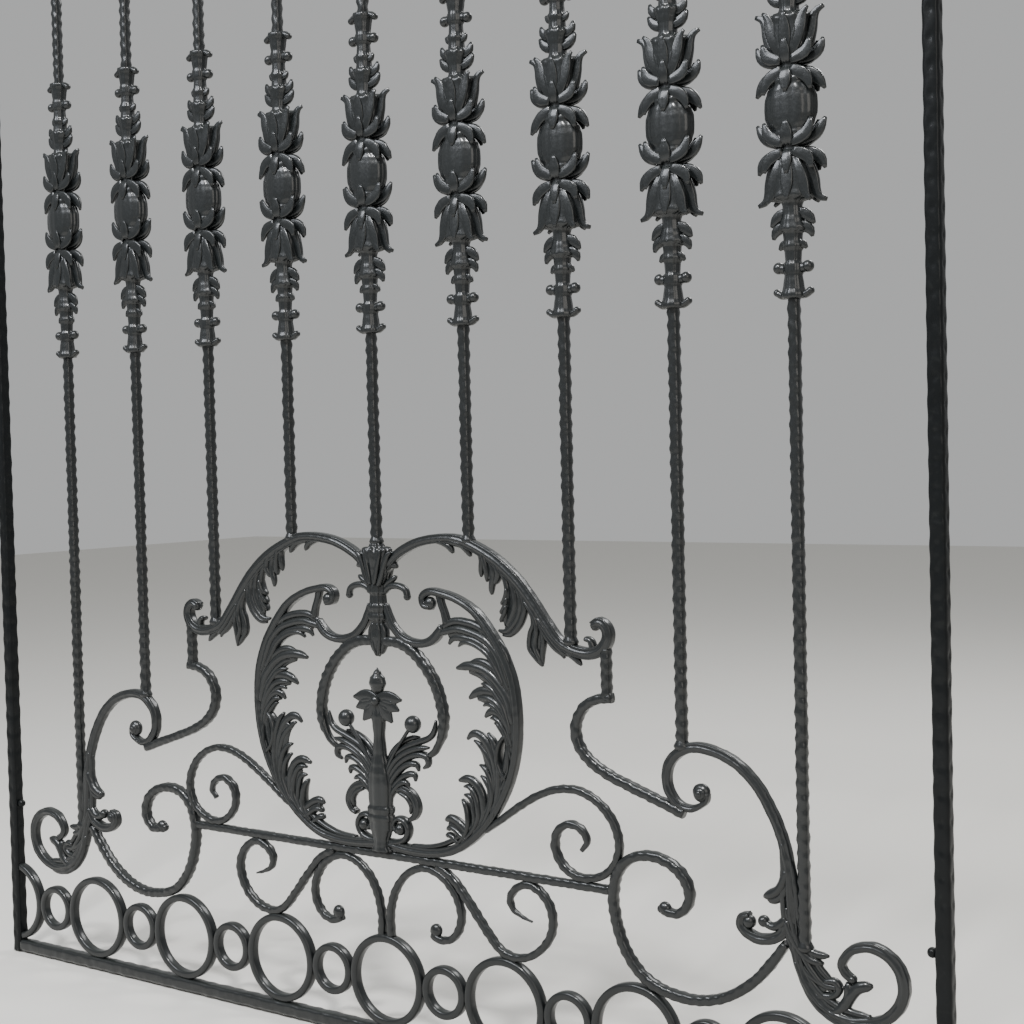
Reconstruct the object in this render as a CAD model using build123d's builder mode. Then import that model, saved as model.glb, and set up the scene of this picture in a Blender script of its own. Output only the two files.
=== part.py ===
"""A flat wrought-iron window grille with cast acanthus ornaments, millimetres, Z up.

The outer face of the left post lies on X = 0, the grille's middle plane on Y = 0, and the
middle of the post's height on Z = 0. The room side is +Y, and the street side is -Y.
"""

import os
from math import hypot

from build123d import *

os.makedirs("parts", exist_ok=True)

# Frame
bay = 130.0
bays = 10
grille_height = 1500.0
post_size = 16.0
rail_size = 16.0
bar_size = 12.0
sleeve_gap = 0.3

# Ring row on the bottom rail
big_ring = 106.0
small_ring = 60.0
ring_wall = 9.0
ring_depth = 12.0

# Forged scrolls: widths seen from the front, and depths from front to back
scroll_width = 9.0
heavy_scroll_width = 11.0
scroll_depth = 10.0
heavy_scroll_depth = 12.0
cross_bar_size = 10.0
cross_bar_level = 145.0
ball_size = 16.0

# Castings
casting_depth = 14.0
leaf_depth = 9.0
stud_size = 9.0
stud_height = 6.0
stud_level = 135.0

# How far a piece is pushed into its neighbour before it is cut to seat on it
bite = 1.0

# Ornaments threaded on the bars, as height of their middle above the ring row
ornament_level = 915.0

clear_width = bay * bays
axis_x = post_size + clear_width / 2
bottom_z = -grille_height / 2
ring_seat = 0.5
ring_level = bottom_z + rail_size + big_ring / 2 - ring_seat
top_rail_level = grille_height / 2 - rail_size - ring_level
cross_bar_top = cross_bar_level + cross_bar_size / 2
cross_bar_underside = cross_bar_level - cross_bar_size / 2
big_ring_top = big_ring / 2
front = Plane(origin=(axis_x, 0, ring_level), x_dir=(1, 0, 0), z_dir=(0, -1, 0))
middle = Plane(origin=(axis_x, 0, 0), x_dir=(0, 1, 0), z_dir=(1, 0, 0))


def heading(a, b, c):
    """Direction at b of the circle through a, b and c."""
    ab = hypot(b[0] - a[0], b[1] - a[1]) ** 2
    bc = hypot(c[0] - b[0], c[1] - b[1]) ** 2
    x = (b[0] - a[0]) / ab + (c[0] - b[0]) / bc
    y = (b[1] - a[1]) / ab + (c[1] - b[1]) / bc
    return x / hypot(x, y), y / hypot(x, y)


def reflected(direction, a, b):
    """Direction at the other end of the arc over the chord from a to b."""
    length = hypot(b[0] - a[0], b[1] - a[1])
    x, y = (b[0] - a[0]) / length, (b[1] - a[1]) / length
    along = 2 * (direction[0] * x + direction[1] * y)
    return along * x - direction[0], along * y - direction[1]


def bent_bar(points, width, ends=()):
    """Front view of a bar of even width, forged round the points, with round ends (place, size)."""
    directions = [heading(a, b, c) for a, b, c in zip(points, points[1:], points[2:])]
    directions.insert(0, reflected(directions[0], points[0], points[1]))
    directions.append(reflected(directions[-1], points[-2], points[-1]))
    half = width / 2
    left = [(x - half * dy, y + half * dx) for (x, y), (dx, dy) in zip(points, directions)]
    right = [(x + half * dy, y - half * dx) for (x, y), (dx, dy) in zip(points, directions)]
    with BuildLine() as outline:
        Polyline(*left, *reversed(right), close=True)
    make_face(outline.edges())
    for place, size in ends:
        with Locations(place):
            RegularPolygon(size / 2, 10)


def band(outer, inner):
    """Front view of a strip of changing width between two edges."""
    with BuildLine() as outline:
        Polyline(*outer, *inner, close=True)
    make_face(outline.edges())


def bowed(start, end, rise):
    """Point at the top of a bow of the given rise from start to end, on its left."""
    length = hypot(end[0] - start[0], end[1] - start[1])
    x, y = (start[0] + end[0]) / 2, (start[1] + end[1]) / 2
    return x - rise * (end[1] - start[1]) / length, y + rise * (end[0] - start[0]) / length


def finger(root_a, tip, root_b, bend=0.0, belly=2.0):
    """Front view of a pointed leaf finger that bows to the side of root_a by the bend."""
    ahead = (tip[0] - root_a[0]) * (root_b[1] - root_a[1])
    aside = (tip[1] - root_a[1]) * (root_b[0] - root_a[0])
    outward = -1 if ahead > aside else 1
    edge_a = bowed(root_a, tip, outward * (belly + bend))
    edge_b = bowed(tip, root_b, outward * (belly - bend))
    with BuildLine() as outline:
        Polyline(root_a, edge_a, tip, edge_b, root_b, close=True)
    make_face(outline.edges())


def outline_of(levels, place):
    """Closed outline, alike on both sides, of core levels seen with the given half width."""
    right = [(level[place], level[0]) for level in levels]
    with BuildLine() as outline:
        Polyline(*right, *[(-x, y) for x, y in reversed(right)], close=True)
    make_face(outline.edges())


def cast_core(levels, turns=((0, 1), (90, 2), (45, 3), (-45, 3))):
    """Eight-sided core about the bar's line, from (height, half width, half depth) levels."""
    reach = max(half_width for _, half_width, _ in levels)
    levels = [(rise, wide, deep, (wide + deep) / 2) for rise, wide, deep in levels]
    for number, (turn, place) in enumerate(turns):
        with BuildSketch(Plane.XZ.rotated((0, 0, turn)).offset(-2 * reach)) as view:
            outline_of(levels, place)
        extrude(view.sketch, amount=4 * reach, mode=Mode.INTERSECT if number else Mode.ADD)


def seated(piece, *neighbours):
    """The piece cut back to the faces of its neighbours."""
    for neighbour in neighbours:
        piece = piece - neighbour
    return piece.solids().sort_by(SortBy.VOLUME)[-1]


def finish(part, name):
    """Label a finished piece and write its file."""
    part.label = name
    export_step(part, f"parts/{name}.step")


def finish_pair(part, name):
    """Write a right-hand piece and its mirror image on the left."""
    finish(mirror(part, about=middle), f"{name}_left")
    finish(part, f"{name}_right")


# Posts and rails
with BuildPart() as left_post:
    with BuildSketch(Plane.XY.offset(bottom_z)):
        with Locations((post_size / 2, 0)):
            Rectangle(post_size, post_size)
    extrude(amount=grille_height)
    with BuildSketch(Plane.YZ.offset(post_size)):
        with Locations((0, ring_level + stud_level)):
            RegularPolygon(stud_size / 2, 8)
    extrude(amount=stud_height, taper=20)
right_post = mirror(left_post.part, about=middle)

with BuildPart() as bottom_rail:
    with BuildSketch(Plane.XY.offset(bottom_z)):
        with Locations((axis_x, 0)):
            Rectangle(clear_width, rail_size)
    extrude(amount=rail_size)
with BuildPart() as top_rail:
    with BuildSketch(Plane.XY.offset(grille_height / 2 - rail_size)):
        with Locations((axis_x, 0)):
            Rectangle(clear_width, rail_size)
    extrude(amount=rail_size)

# Row of alternate big and small rings, welded where they touch, cut off at the posts
weld_bite = 0.5
ring_step = (big_ring + small_ring) / 2 - weld_bite
ring_count = 2 * int(clear_width / 2 / ring_step + 1) + 1
with BuildPart() as ring_row:
    with BuildSketch(front) as ring_sketch:
        for place in range(ring_count):
            from_axis = place - ring_count // 2
            size = small_ring if from_axis % 2 else big_ring
            with Locations((from_axis * ring_step, 0)):
                RegularPolygon(size / 2, 16 if size == big_ring else 12)
        for place in range(ring_count):
            from_axis = place - ring_count // 2
            size = small_ring if from_axis % 2 else big_ring
            with Locations((from_axis * ring_step, 0)):
                RegularPolygon(size / 2 - ring_wall, 16 if size == big_ring else 12, mode=Mode.SUBTRACT)
        with Locations((0, ring_seat / 2)):
            Rectangle(clear_width, big_ring - ring_seat, mode=Mode.INTERSECT)
    extrude(amount=ring_depth / 2, both=True)

# Centre casting under the middle bar: leafy cup, collars and a hanging leaf
collar_top = 500.0
with BuildPart() as collar_stem:
    cast_core(
        [
            (370, 2, 2),
            (380, 8, 7),
            (390, 11, 9),
            (404, 9, 8),
            (412, 9, 8),
            (414, 14, 11),
            (430, 14, 11),
            (432, 11, 10),
            (443, 10, 9),
            (445, 14, 11),
            (452, 14, 11),
            (454, 11, 10),
            (486, 19, 13),
            (collar_top, 9, 9),
        ]
    )
centre_collar = Pos(axis_x, 0, ring_level) * collar_stem.part
with BuildPart() as collar_hooks:
    with BuildSketch(front):
        bent_bar([(7, 446), (20, 454), (33, 454), (43, 448), (44, 441)], 6, [((43, 442), 8)])
        finger((11, 472), (29, 463), (11, 456), bend=2)
        finger((14, 493), (31, 478), (16, 472), bend=2)
        mirror(about=Plane.YZ)
    extrude(amount=leaf_depth / 2, both=True)
with BuildPart() as centre_casting:
    add(centre_collar)
    add(collar_hooks.part)

# Flower on its vase, with two balls on stalks and a spray of leaves on each side
vase_foot = cross_bar_top
with BuildPart() as vase_body:
    cast_core(
        [
            (vase_foot, 14, 8),
            (163, 9, 8),
            (174, 14, 11),
            (178, 19, 15),
            (199, 19, 15),
            (201, 15, 13),
            (222, 17, 14),
            (245, 13, 11),
            (256, 8, 8),
            (318, 8, 7),
        ]
    )
with BuildPart() as flower_front:
    with BuildSketch(front):
        with Locations((0, 323)):
            RegularPolygon(13, 10)
        for side in (-1, 1):
            finger((side * 4, 335), (side * 33, 333), (side * 10, 317), belly=3)
            finger((side * 11, 322), (side * 23, 304), (side * 1, 312))
            finger((side * 5, 266), (side * 74, 286), (side * 10, 246), bend=9, belly=3)
            finger((side * 60, 290), (side * 84, 306), (side * 74, 280), bend=-3)
            finger((side * 8, 256), (side * 70, 260), (side * 12, 236), bend=12, belly=3)
            finger((side * 10, 242), (side * 52, 246), (side * 13, 226), bend=8)
        with BuildLine() as bud:
            Polyline((-5, 331), (-10, 339), (-12, 346), (-8, 352), (0, 359))
            Polyline((0, 359), (8, 352), (12, 346), (10, 339), (5, 331), (-5, 331))
        make_face()
    extrude(amount=leaf_depth / 2, both=True)
with BuildPart() as flower_side:
    with BuildSketch(front):
        bent_bar([(11, 240), (20, 260), (32, 280), (46, 298)], 4)
        bent_bar([(14, 222), (32, 225), (46, 220), (52, 209), (46, 198)], 7)
        with Locations((48, 301), (27, 177)):
            RegularPolygon(12, 12)
        mirror(about=Plane.YZ)
    extrude(amount=leaf_depth / 2, both=True)
with BuildPart() as centre_flower:
    add(Pos(axis_x, 0, ring_level) * vase_body.part)
    add(flower_front.part)
    add(flower_side.part)

# Bars, with the lower end of each at the height where it lands
landings = [collar_top - 6, 495, 394, 296, 118]
bars = []
for number in range(1, bays):
    from_axis = number - bays // 2
    with BuildPart() as bar:
        with BuildSketch(Plane.XY.offset(ring_level + landings[abs(from_axis)])):
            with Locations((axis_x + from_axis * bay, 0)):
                RegularPolygon(bar_size / 2, 8, major_radius=False, rotation=22.5)
        extrude(amount=top_rail_level - landings[abs(from_axis)])
    bars.append(bar.part)

# Outer scroll on each side, with its acanthus sheath and small volute
with BuildPart() as outer_scroll:
    with BuildSketch(front):
        bent_bar(
            [
                (412, 249),
                (399, 241),
                (383, 245),
                (373, 260),
                (374, 280),
                (386, 295),
                (405, 302),
                (429, 299),
                (452, 289),
                (472, 271),
                (488, 246),
                (500, 217),
                (506, 185),
                (508, 150),
                (511, 116),
                (522, 86),
                (542, 66),
                (567, 57),
                (593, 61),
                (612, 76),
                (619, 98),
                (611, 119),
                (591, 130),
                (570, 126),
                (558, 112),
            ],
            heavy_scroll_width,
            [((417, 256), ball_size)],
        )
    extrude(amount=heavy_scroll_depth / 2, both=True)
    with BuildSketch(front):
        band(
            [(496, 214), (491, 185), (490, 155), (494, 125), (505, 98), (523, 74), (546, 57), (572, 49)],
            [(580, 66), (556, 72), (541, 84), (533, 101), (527, 117), (514, 135), (512, 160), (510, 200)],
        )
        finger((500, 172), (477, 163), (500, 150))
        finger((520, 118), (548, 110), (526, 94), bend=3, belly=1)
        finger((528, 96), (557, 82), (540, 66), bend=3, belly=1)
        finger((556, 70), (589, 88), (575, 60), bend=3, belly=3)
        finger((562, 118), (592, 92), (556, 108), bend=4, belly=0)
        bent_bar([(502, 124), (488, 114), (471, 115), (461, 127), (464, 139)], 9, [((469, 134), 13)])
    extrude(amount=casting_depth / 2, both=True)
outer_right = seated(outer_scroll.part, bars[-1])

# Hook scroll on each side, from the outer scroll down to a ring and back over the cross bar
hook_scroll_points = [
    (500, 120),
    (484, 98),
    (468, 80),
    (449, 65),
    (428, 54),
    (404, 48),
    (382, 48),
    (360, 52),
    (341, 61),
    (325, 77),
    (314, 97),
    (308, 118),
    (306, 140),
    (311, 163),
    (324, 179),
    (343, 186),
    (364, 185),
    (383, 176),
    (394, 161),
    (394, 144),
    (382, 132),
    (367, 133),
]
with BuildPart() as hook_scroll:
    with BuildSketch(front):
        bent_bar(hook_scroll_points, heavy_scroll_width, [((366, 135), 13)])
    extrude(amount=heavy_scroll_depth / 2, both=True)
hook_right = seated(hook_scroll.part, outer_right, ring_row.part)
hook_left = mirror(hook_right, about=middle)

with BuildPart() as cross_bar:
    with BuildSketch(front):
        with Locations((0, cross_bar_level)):
            Rectangle(2 * hook_scroll_points[12][0], cross_bar_size)
    extrude(amount=cross_bar_size / 2, both=True)
cross = seated(cross_bar.part, hook_right, hook_left)

# Half of the big oval, with its volute, inner leaves, arm and broad leaf
with BuildPart() as oval_half:
    with BuildSketch(front):
        band(
            [
                (66, 446),
                (90, 451),
                (113, 446),
                (138, 433),
                (160, 412),
                (180, 386),
                (193, 355),
                (200, 322),
                (200, 288),
                (193, 254),
                (180, 224),
                (159, 197),
                (134, 173),
                (104, 156),
                (70, cross_bar_top - bite),
                (36, cross_bar_top - bite),
                (8, 152),
            ],
            [
                (8, 164),
                (36, 162),
                (68, 162),
                (98, 168),
                (124, 184),
                (145, 205),
                (162, 231),
                (174, 258),
                (181, 290),
                (181, 322),
                (175, 350),
                (164, 376),
                (147, 401),
                (127, 421),
                (107, 434),
                (88, 439),
            ],
        )
        with Locations((76, 436)):
            RegularPolygon(11.5, 12)
        band(
            [(88, 404), (100, 417), (122, 420), (146, 411), (168, 392)],
            [(172, 366), (156, 372), (140, 386), (122, 392), (104, 391), (92, 396)],
        )
        with BuildLine():
            Polyline((83, 444), (91, 410), (102, 412), (94, 444), close=True)
        make_face()
    extrude(amount=casting_depth / 2, both=True)
    with BuildSketch(front):
        bent_bar(
            [(12, 426), (19, 409), (33, 396), (50, 390), (68, 390), (82, 396), (93, 405)],
            scroll_width,
        )
        finger((170, 368), (134, 375), (178, 345), bend=2)
        finger((174, 358), (117, 365), (180, 335), bend=4, belly=3)
        finger((176, 348), (144, 352), (182, 326), bend=3)
        finger((178, 338), (131, 333), (186, 310), bend=4, belly=3)
        finger((180, 324), (153, 317), (186, 298), bend=3)
        finger((186, 300), (170, 276), (180, 256), belly=3)
        finger((172, 238), (158, 298), (160, 212), bend=3, belly=3)
        finger((164, 230), (127, 295), (152, 202), bend=-6, belly=4)
        finger((157, 216), (140, 258), (146, 196), bend=-3, belly=3)
        finger((148, 200), (117, 246), (132, 180), bend=-5, belly=4)
        finger((134, 186), (108, 218), (118, 172), bend=-4, belly=3)
        finger((110, 168), (74, 188), (86, 158), bend=-3, belly=3)
    extrude(amount=leaf_depth / 2, both=True)
oval_right = seated(oval_half.part, centre_casting.part, centre_flower.part, cross)

# Half of the crest: stem, hanging acanthus fingers and the curled end
with BuildPart() as crest_half:
    with BuildSketch(front):
        band(
            [
                (14, 478),
                (34, 494),
                (62, 507),
                (95, 511),
                (130, 505),
                (164, 491),
                (194, 469),
                (217, 443),
                (236, 419),
                (255, 401),
                (278, 393),
                (300, 391),
            ],
            [
                (302, 381),
                (278, 381),
                (254, 385),
                (233, 397),
                (213, 424),
                (190, 452),
                (160, 474),
                (128, 493),
                (95, 501),
                (66, 497),
                (42, 484),
                (20, 466),
            ],
        )
        bent_bar([(288, 388), (301, 396), (307, 409), (303, 420), (293, 424), (287, 418)], 10, [((291, 418), 12)])
        bent_bar([(258, 394), (271, 397), (276, 404)], 6, [((276, 406), 8)])
    extrude(amount=casting_depth / 2, both=True)
    with BuildSketch(front):
        finger((94, 504), (108, 491), (118, 501), bend=1)
        finger((116, 501), (132, 488), (144, 494), bend=1)
        finger((130, 498), (147, 470), (162, 482), bend=2, belly=3)
        finger((144, 488), (160, 449), (178, 470), belly=3)
        finger((166, 480), (172, 405), (210, 434), bend=-10, belly=1.5)
        finger((196, 452), (221, 374), (236, 402), bend=4, belly=3)
        finger((240, 394), (272, 376), (276, 388), bend=1)
    extrude(amount=leaf_depth / 2, both=True)
crest_right = seated(crest_half.part, centre_casting.part, oval_right)

# Spiral that leaves the oval, rests on the cross bar and touches the hook scroll
with BuildPart() as spiral:
    with BuildSketch(front):
        bent_bar(
            [
                (145, 188),
                (164, 202),
                (190, 220),
                (216, 235),
                (242, 244),
                (268, 244),
                (292, 233),
                (309, 213),
                (314, 189),
                (305, 168),
                (286, 156),
                (264, cross_bar_top + scroll_width / 2 - bite),
                (245, 163),
                (235, 180),
                (238, 198),
                (252, 208),
                (268, 203),
                (274, 189),
            ],
            scroll_width,
        )
    extrude(amount=scroll_depth / 2, both=True)
spiral_right = seated(spiral.part, oval_right, hook_right, cross)

# Arch scroll between the cross bar and the middle ring, and the scroll beside it
arch_top = cross_bar_underside - scroll_width / 2 + bite
with BuildPart() as arch_scroll:
    with BuildSketch(front):
        bent_bar(
            [
                (7, big_ring_top - 2 * bite),
                (6, 70),
                (9, 90),
                (17, 109),
                (32, 126),
                (50, 135),
                (68, arch_top - 1),
                (87, 127),
                (101, 112),
                (108, 93),
                (105, 75),
                (94, 62),
                (79, 58),
                (67, 63),
            ],
            scroll_width,
            [((71, 68), ball_size)],
        )
    extrude(amount=scroll_depth / 2, both=True)
arch_right = seated(arch_scroll.part, ring_row.part, cross)

with BuildPart() as side_scroll:
    with BuildSketch(front):
        bent_bar(
            [
                (76, cross_bar_underside + bite),
                (98, 129),
                (115, 111),
                (131, 92),
                (147, 73),
                (161, 60),
                (178, 55),
                (199, 59),
                (217, 72),
                (228, 90),
                (229, 110),
                (219, 127),
                (202, arch_top),
                (185, 132),
                (175, 119),
                (174, 103),
            ],
            scroll_width,
        )
    extrude(amount=scroll_depth / 2, both=True)
side_right = seated(side_scroll.part, arch_right, ring_row.part, cross)

# Link bar from the crest's end down to the curl of the outer scroll
with BuildPart() as link_bar:
    with BuildSketch(front):
        with Locations((303, 367)):
            Rectangle(heavy_scroll_width, 56)
        bent_bar(
            [
                (308, 344.5),
                (291, 342),
                (276, 334),
                (267, 321),
                (264, 306),
                (269, 290),
                (283, 276),
                (303, 265),
                (330, 255),
                (360, 245),
                (391, 234),
            ],
            heavy_scroll_width,
        )
    extrude(amount=heavy_scroll_depth / 2, both=True)
link_right = seated(link_bar.part, crest_right, outer_right)

# Half of the inner ring, from the centre casting to the leaf spray
with BuildPart() as inner_arc:
    with BuildSketch(front):
        bent_bar(
            [(9, 389), (28, 388), (46, 381), (63, 367), (77, 349), (86, 328), (90, 305), (86, 284), (75, 268)],
            heavy_scroll_width,
        )
    extrude(amount=heavy_scroll_depth / 2, both=True)
inner_right = seated(inner_arc.part, centre_casting.part, centre_flower.part, oval_right)

# Cast ornaments threaded on the bars, alike above and below their middle
half_core = [
    (14, 28, 15),
    (38, 11, 10),
    (58, 22, 13),
    (76, 24, 13),
    (86, 33, 14.5),
    (88, 10, 9),
    (102, 10, 9),
    (114, 20, 11),
    (118, 9, 8),
    (144, 8, 7.5),
    (150, 18, 11),
    (156, 8.5, 8),
    (174, 12, 10),
    (178, 17, 12),
]
with BuildPart() as ornament_core:
    cast_core([(-rise, wide, deep) for rise, wide, deep in reversed(half_core)] + half_core)
with BuildPart() as ornament_blank:
    add(ornament_core.part)
    with BuildSketch(Plane.XZ):
        finger((14, 34), (36, 14), (22, 16), bend=3, belly=1)
        finger((13, 46), (35, 59), (22, 60), bend=4, belly=1)
        mirror(about=Plane.XZ)
        mirror(about=Plane.YZ)
    extrude(amount=leaf_depth / 2, both=True)
    with BuildSketch(Plane.XY.offset(-half_core[-1][0])):
        RegularPolygon(bar_size / 2 + sleeve_gap, 8, major_radius=False, rotation=22.5)
    extrude(amount=2 * half_core[-1][0], mode=Mode.SUBTRACT)

finish(left_post.part, "left_post")
finish(right_post, "right_post")
finish(bottom_rail.part, "bottom_rail")
finish(top_rail.part, "top_rail")
finish(ring_row.part, "ring_row")
finish(centre_casting.part, "centre_casting")
finish(centre_flower.part, "centre_flower")
finish(cross, "cross_bar")
for number, bar in enumerate(bars, start=1):
    from_axis = number - bays // 2
    if abs(from_axis) < len(landings) - 1:
        landing_pieces = [crest_right, outer_right]
        landing_pieces += [mirror(piece, about=middle) for piece in landing_pieces]
        bar = seated(bar, centre_casting.part, *landing_pieces)
    finish(bar, f"bar_{number}")
    place = (axis_x + from_axis * bay, 0, ring_level + ornament_level)
    finish(Pos(*place) * ornament_blank.part, f"bar_ornament_{number}")
finish_pair(outer_right, "outer_scroll")
finish_pair(hook_right, "hook_scroll")
finish_pair(oval_right, "oval")
finish_pair(crest_right, "crest")
finish_pair(spiral_right, "spiral")
finish_pair(arch_right, "arch_scroll")
finish_pair(side_right, "side_scroll")
finish_pair(link_right, "link_bar")
finish_pair(inner_right, "inner_ring")
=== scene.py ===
"""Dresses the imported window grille: hammered bars, forged scrolls, leafy castings, paint and stage.

The ironwork is in millimetres, x from the middle of the grille and z from the middle of the ring row,
and a run gives x and z in turn.
"""

import math

import bmesh
import bpy
from mathutils import Matrix, Vector, noise


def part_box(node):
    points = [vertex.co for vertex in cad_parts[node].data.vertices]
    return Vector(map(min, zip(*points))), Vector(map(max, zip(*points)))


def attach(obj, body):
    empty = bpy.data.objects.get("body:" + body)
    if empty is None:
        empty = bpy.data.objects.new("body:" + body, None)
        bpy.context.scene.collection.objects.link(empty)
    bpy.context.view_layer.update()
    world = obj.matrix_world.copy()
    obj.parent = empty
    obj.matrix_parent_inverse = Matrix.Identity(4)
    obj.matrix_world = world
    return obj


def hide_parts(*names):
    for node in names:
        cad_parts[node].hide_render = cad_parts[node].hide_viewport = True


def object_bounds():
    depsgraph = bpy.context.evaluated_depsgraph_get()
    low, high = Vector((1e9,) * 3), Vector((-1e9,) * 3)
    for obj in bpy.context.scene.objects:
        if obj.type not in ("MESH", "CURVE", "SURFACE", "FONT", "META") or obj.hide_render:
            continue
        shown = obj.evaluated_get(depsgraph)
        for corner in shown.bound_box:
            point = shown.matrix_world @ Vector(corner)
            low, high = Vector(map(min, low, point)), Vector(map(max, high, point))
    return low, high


bl_info = {
    "name": "Window grille",
    "version": (1, 0, 0),
    "blender": (4, 5, 0),
    "location": "3D View > Sidebar > Grille",
    "description": "Hammered bars, forged scrolls and cast leaves over the packed grille",
    "category": "Object",
}

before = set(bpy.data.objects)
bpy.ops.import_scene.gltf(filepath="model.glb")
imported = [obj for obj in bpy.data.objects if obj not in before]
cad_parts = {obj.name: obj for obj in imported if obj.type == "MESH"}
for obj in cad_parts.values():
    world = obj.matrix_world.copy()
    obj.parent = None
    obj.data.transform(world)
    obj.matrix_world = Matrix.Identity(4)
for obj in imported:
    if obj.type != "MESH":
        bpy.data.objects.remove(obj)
cad_low, cad_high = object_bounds()

MM = 0.001
AXIS_X = (cad_low.x + cad_high.x) / 2
BAR_NODES = sorted(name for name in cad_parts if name.startswith("bar_") and "ornament" not in name)
ORNAMENT_NODES = sorted(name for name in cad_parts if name.startswith("bar_ornament_"))
# How far the rings sink into the rail, and how far they bite each other
RING_SEAT = 0.5
WELD_BITE = 0.5
SMALL_RING = 60
RING_WALL = 9
RING_SIZE = (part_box("ring_row")[1].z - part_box("ring_row")[0].z) / MM + RING_SEAT
RING_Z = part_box("ring_row")[1].z - RING_SIZE / 2 * MM
BAR_SIZE = (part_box("bar_1")[1].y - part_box("bar_1")[0].y) / MM
POST_SIZE = (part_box("left_post")[1].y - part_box("left_post")[0].y) / MM
STUD_LEVEL = 135

# Steps of the smooth curve between two points of a run, and the least that a sweep is made of
CURVE_STEPS = 12
LEAST_STATIONS = 6
LEAST_SIZE = 0.3
# Power that rounds the corners of a square section; 2 would make it a circle
SQUARENESS = 5
# How unevenly the blows fall along a bar, as a share of their pitch
STRAY_BLOWS = 0.35
# Shares of what the bars have: blows on a scroll's corners, size of its stray dents, depth of a post's
SCROLL_BLOWS = 0.65
SCROLL_DENTS = 0.8
POST_DENTS = 0.4
# Grain that the mould leaves on a casting: size, depth, and seed of the pattern
SAND = (0.007, 0.00025, 53.0)


def length_setting(name, description, default, least=0.005):
    """Property that holds a length."""
    return bpy.props.FloatProperty(
        name=name, description=description, default=default, min=least, unit="LENGTH"
    )


def share_setting(name, description, default, most=1.0):
    """Property that holds a share."""
    return bpy.props.FloatProperty(
        name=name, description=description, default=default, min=0.0, max=most, subtype="FACTOR"
    )


def angle_setting(name, description, degrees):
    """Property that holds an angle."""
    return bpy.props.FloatProperty(
        name=name, description=description, default=math.radians(degrees), unit="ROTATION"
    )


def colour_setting(name, place, default):
    """Property that holds the colour of a place."""
    return bpy.props.StringProperty(
        name=name, description=f"Colour of the {place}, as an sRGB hex value", default=default
    )


class GrilleForging(bpy.types.PropertyGroup):
    """Sizes left by the smith's hammer"""

    bar_pitch: length_setting(
        "Blows on the bars", "Distance between hammer blows on one corner of a bar", 0.0135
    )
    post_pitch: length_setting(
        "Blows on the posts", "Distance between hammer blows on one corner of a post or rail", 0.025
    )
    scroll_pitch: length_setting(
        "Blows on the scrolls", "Distance between hammer blows on one corner of a scroll", 0.011
    )
    corner_dent: share_setting(
        "Corner dent", "How far a blow flattens a corner, as a share of the bar's half width", 0.19, 0.5
    )
    dent_size: length_setting("Dent size", "Distance between the stray dents on the faces", 0.012)
    dent_depth: length_setting("Dent depth", "Depth of a stray dent", 0.0005, 0.0)


class GrillePaint(bpy.types.PropertyGroup):
    """Colours and gloss of the black paint"""

    hammered_colour: colour_setting("Hammered iron", "paint on hammered bars and scrolls", "#0e1112")
    cast_colour: colour_setting("Castings", "paint on the cast leaves", "#101314")
    ring_colour: colour_setting("Rings", "paint on the smooth rings", "#0f1213")
    # the posts' paint is a darker copy of the bars' paint, darkened as painted shade
    tube_shade_colour: colour_setting("Square tube", "dull paint on the posts", "#0c0e0f")
    dust_colour: colour_setting("Street dust", "dust that lies in hollows and on ledges", "#474a46")
    roughness: share_setting("Roughness", "Roughness of the satin paint", 0.33)


class GrilleStage(bpy.types.PropertyGroup):
    """Floor, light and camera"""

    floor_colour: colour_setting("Floor", "floor", "#dedcd6")
    lens: bpy.props.FloatProperty(
        name="Lens",
        description="Focal length of the camera, for a sensor 36 mm wide",
        default=57.0034,
        subtype="DISTANCE_CAMERA",
    )
    camera_place: bpy.props.FloatVectorProperty(
        name="Camera place",
        description="Place of the camera from the middle of the ring row",
        default=(1.1864, -1.4052, 0.5956),
        subtype="XYZ_LENGTH",
    )
    camera_heading: angle_setting("Camera heading", "Turn of the camera to its left", 35.374)
    camera_tilt: angle_setting("Camera tilt", "Tilt of the camera above the horizon", -2.006)
    camera_roll: angle_setting("Camera roll", "Turn of the camera about its line of sight", -1.346)


def through(values, u):
    """Value at u, 0 to 1, on a smooth curve through values at even steps."""
    if isinstance(values, (int, float)):
        return values
    place = min(max(u, 0.0), 1.0) * (len(values) - 1)
    first = min(int(place), len(values) - 2)
    part = place - first
    b, c = values[first], values[first + 1]
    a = values[first - 1] if first else b * 2 - c
    d = values[first + 2] if first + 2 < len(values) else c * 2 - b
    return (
        b
        + (c - a) * (part / 2)
        + (a * 2 - b * 5 + c * 4 - d) * (part * part / 2)
        + (b * 3 - a - c * 3 + d) * (part**3 / 2)
    )


def even_run(run, count):
    """Places at even steps on a smooth curve along the run, their left-hand sides, and the length."""
    knots = [Vector(place) for place in zip(run[::2], run[1::2])]
    steps = len(knots) * CURVE_STEPS
    fine = [through(knots, i / steps) for i in range(steps + 1)]
    reach = [0.0]
    for a, b in zip(fine, fine[1:]):
        reach.append(reach[-1] + (b - a).length)
    places, at = [], 0
    for i in range(count + 1):
        goal = reach[-1] * i / count
        while at < len(reach) - 2 and reach[at + 1] < goal:
            at += 1
        part = (goal - reach[at]) / max(reach[at + 1] - reach[at], 1e-9)
        places.append(fine[at].lerp(fine[at + 1], part))
    sides = []
    for i in range(count + 1):
        ahead = places[min(i + 1, count)] - places[max(i - 1, 0)]
        sides.append(Vector((-ahead.y, ahead.x)).normalized())
    return places, sides, reach[-1]


def mirrored(run, aside, up=1):
    """The run with its x turned over where aside is -1, and its z where up is -1."""
    return [value * (up if number % 2 else aside) for number, value in enumerate(run)]


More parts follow.
